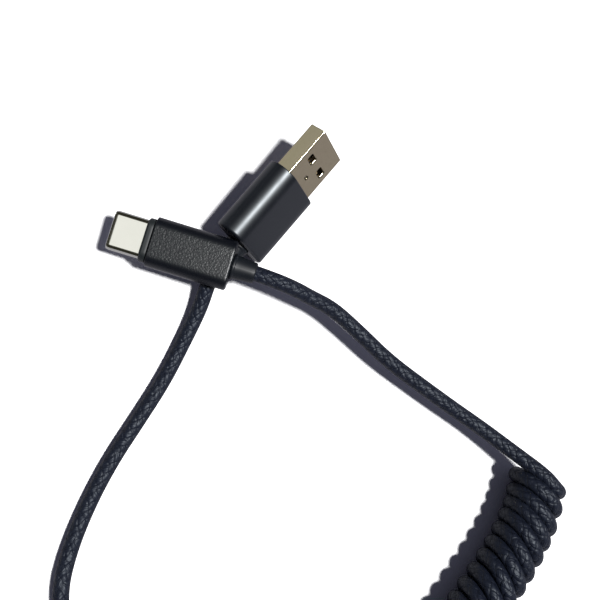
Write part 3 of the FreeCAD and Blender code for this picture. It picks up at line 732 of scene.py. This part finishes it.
def shellColumns(plug, gap):
    # Points round the folded shell with their normals, starting on the upper broad face.
    corner = plug["shellCorner"]
    reach = plug["shellWidth"] / 2 - corner
    rise = plug["shellHeight"] / 2 - corner
    low, high = plug["window"][2:]
    seam = plug["seamWidth"]
    upper = spans((-reach, -high, -low, 0.0, low, high, reach), gap)
    lower = spans((-reach, -high, -low, -seam, -seam / 4, seam / 4, seam, low, high, reach), gap)
    side = spans((-rise, rise), gap * 3)
    columns = [(y, rise + corner, 0.0, 1.0) for y in upper[:-1]]
    for start, run, sideY, sideZ in ((90, side[::-1], 1, 1), (0, lower[::-1], 1, -1),
                                     (-90, side, -1, -1), (-180, [], -1, 1)):
        for step in np.linspace(0, 1, 11):
            angle = math.radians(start - 90 * step)
            out = (math.cos(angle), math.sin(angle))
            columns.append((sideY * reach + corner * out[0], sideZ * rise + corner * out[1], *out))
        for value in run[1:-1]:
            if start == 0:
                columns.append((value, -rise - corner, 0.0, -1.0))
            else:
                columns.append((sideY * (reach + corner), value, float(sideY), 0.0))
    return np.array(columns[:-1])


def windowWarp(x, y, plug):
    # Moves a point of a broad face so that its window gets round corners, and says how deep it lies.
    back, front, low, high = plug["window"]
    half = np.array([(front - back) / 2, (high - low) / 2])
    centre = np.where(y < 0, -0.5, 0.5) * (low + high)
    middle = np.stack([np.full_like(y, (back + front) / 2), centre], axis=-1)
    offset = np.stack([x, y], axis=-1) - middle
    ring = np.max(np.abs(offset) / half, axis=-1)
    edge = offset / np.maximum(ring, 1e-9)[..., None]
    corner = plug["windowCorner"]
    inner = np.clip(edge, -(half - corner), half - corner)
    out = edge - inner
    rounded = inner + corner * out / np.maximum(np.linalg.norm(out, axis=-1), 1e-9)[..., None]
    share = np.clip((ring - 1) / 0.5, 0, 1)[..., None]
    moved = middle + (rounded * (1 - share) + edge * share) * ring[..., None]
    away = np.linalg.norm(moved - middle - rounded, axis=-1)
    bend = np.clip(1 - away / plug["windowReach"], 0, 1) ** 2
    inside = ring < 0.999
    depth = np.where(ring < 1.8, plug["windowBend"] * bend, 0.0)
    return moved[..., 0], moved[..., 1], depth, inside


def makeHostShell(plug):
    # Folded sheet: two latch windows on each broad face with rims bent in, a dimple and a seam.
    tip = plug["shellTip"]
    back, front = plug["window"][:2]
    gap = plug["fineGap"]
    columns = shellColumns(plug, gap)
    fine = plug["fineFrom"]
    near = plug["dimpleMargin"]
    past = front + plug["windowMargin"]
    rows = spans((plug["shellBack"], fine), 1.0)[:-1]
    rows += spans((fine, plug["dimple"] - near, plug["dimple"] + near, back, front, past), gap)
    rows += spans((past, tip - plug["tipRound"] - 0.1), 0.5)[1:]
    insets = [0.0] * len(rows)
    for x, inset, _ in roundStations(tip, plug["tipRound"], -1, 6):
        rows.append(x)
        insets.append(inset)
    x = np.repeat(np.array(rows)[:, None], len(columns), axis=1)
    y, z, outY, outZ = [np.repeat(part[None, :], len(rows), axis=0) for part in columns.T]
    onFace = np.abs(outZ) > 0.999
    movedX, movedY, depth, inside = windowWarp(x, y, plug)
    x = np.where(onFace, movedX, x)
    y = np.where(onFace, movedY, y)
    drop = np.where(onFace, depth, 0.0) + np.array(insets)[:, None]
    away = np.hypot(x - plug["dimple"], y) / plug["dimpleRadius"]
    cup = np.clip(1 - away ** 2, 0, 1) ** 0.7 * plug["dimpleDepth"]
    drop = drop + np.where(onFace & (outZ > 0), cup, 0.0)
    drop = drop + np.where(onFace & (outZ < 0) & (np.abs(y) < plug["seamWidth"] / 3), plug["seamDepth"], 0.0)
    grid = np.stack([x, y - outY * drop, z - outZ * drop], axis=-1)
    holes = inside & onFace
    ahead = np.roll(holes, -1, axis=1)
    keep = ~(holes[:-1] | holes[1:] | ahead[:-1] | ahead[1:])
    steps = np.hypot(*np.diff(columns[:, :2], axis=0).T)
    around = np.concatenate([[0.0], np.cumsum(steps), [plug["uvRound"]]])
    mesh = gridMesh("hostShellSheet", setDown(grid, plug), gridUv(np.array(rows), around), True, keep)
    sheet = linkPiece("hostShellSheet", mesh, made["nickel"])
    wall = sheet.modifiers.new("wall", "SOLIDIFY")
    wall.thickness = plug["shellWall"] * mm
    wall.offset = -1.0 if outwardShare(mesh, plug) > 0.5 else 1.0
    applyModifiers(sheet)
    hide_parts("host_shell")


def outwardShare(mesh, plug):
    # Share of a mesh's faces that look away from its plug's axis.
    count = len(mesh.polygons)
    centre = np.empty(count * 3)
    normal = np.empty(count * 3)
    mesh.polygons.foreach_get("center", centre)
    mesh.polygons.foreach_get("normal", normal)
    turn = plugMatrix(plug)
    local = (centre.reshape(-1, 3) / mm - np.array(plug["rear"])) @ turn
    local[:, 0] = 0.0
    return float(np.mean(np.sum(local @ turn.T * normal.reshape(-1, 3), axis=1) > 0))


def applyModifiers(thing):
    graph = bpy.context.evaluated_depsgraph_get()
    whole = bpy.data.meshes.new_from_object(thing.evaluated_get(graph))
    old = thing.data
    thing.modifiers.clear()
    thing.data = whole
    bpy.data.meshes.remove(old)
    whole.name = thing.name


makeCover("hostCoverSleeve", hostPlug, made["hostCover"], "host_cover")
makeCover("deviceCoverSleeve", devicePlug, made["deviceCover"], "device_cover")
say("covers")
makeBezel(devicePlug)
makeDeviceShell(devicePlug)
makeHostShell(hostPlug)
say("shells")
makeRelief("hostReliefCollar", hostPlug, "host_strain_relief")
makeRelief("deviceReliefCollar", devicePlug, "device_strain_relief")
say("strain reliefs")


# Every solid that is still shown gets its finish.

finishes = {
    "host_tongue": "tongue", "host_contacts": "gold", "host_can": "can",
    "host_inner_mould": "mould", "host_jacket_end": "weave",
    "host_wire_power": "wireRed", "host_wire_ground": "wireBlack", "host_wire_data_plus": "wireGreen",
    "host_wire_data_minus": "wireWhite", "device_insulator": "insulator",
    "device_contacts_upper": "gold", "device_contacts_lower": "gold", "device_latch": "latch",
    "device_earth_springs": "latch", "device_board": "board", "device_resistor": "chip", "device_can": "can",
    "device_inner_mould": "mould", "device_jacket_end": "weave",
    "device_wire_power": "wireRed", "device_wire_ground": "wireBlack",
    "device_wire_data_plus": "wireGreen", "device_wire_data_minus": "wireWhite",
}
for name, finish in finishes.items():
    nodes[name].data.materials.clear()
    nodes[name].data.materials.append(made[finish])
say("finishes")
